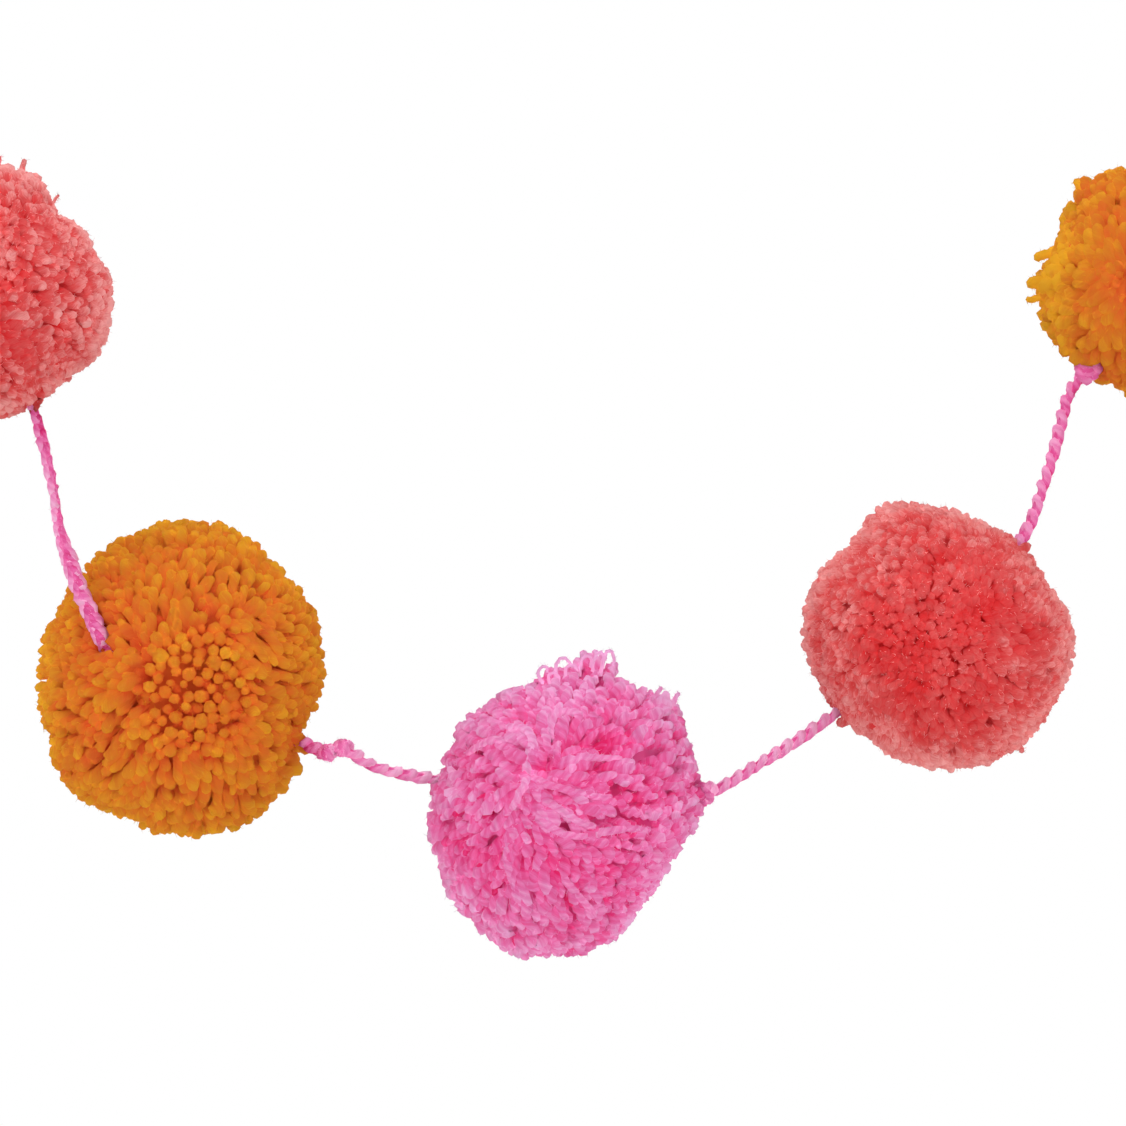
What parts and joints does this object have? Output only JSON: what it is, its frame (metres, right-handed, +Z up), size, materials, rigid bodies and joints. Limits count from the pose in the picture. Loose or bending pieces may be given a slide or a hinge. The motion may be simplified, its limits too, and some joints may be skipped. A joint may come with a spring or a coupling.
{
  "type": "yarn pompom garland",
  "caption": "Fluffy cut-yarn pompoms threaded on a crocheted chain cord that hangs as a swag, with a tied hanging loop at each end.",
  "frame": {"origin": "middle of the cord at the top of the left hanging loop, where it passes over a hook", "axes": "+X to the right along the garland, towards the right hanging loop; +Y away from the viewer; +Z up"},
  "size_m": [0.3542, 0.0808, 0.2279],
  "materials": {
    "cord_yarn_pink": "soft acrylic yarn, crocheted chain",
    "yarn_coral": "bloomed cut yarn",
    "yarn_orange": "bloomed cut yarn",
    "yarn_pink": "bloomed cut yarn"
  },
  "bodies": {
    "root": {"cord": "cord_yarn_pink", "pompom_coral_left": "yarn_coral", "pompom_orange": "yarn_orange", "pompom_pink": "yarn_pink", "pompom_coral_right": "yarn_coral", "pompom_orange_right": "yarn_orange"}
  },
  "joints": []
}
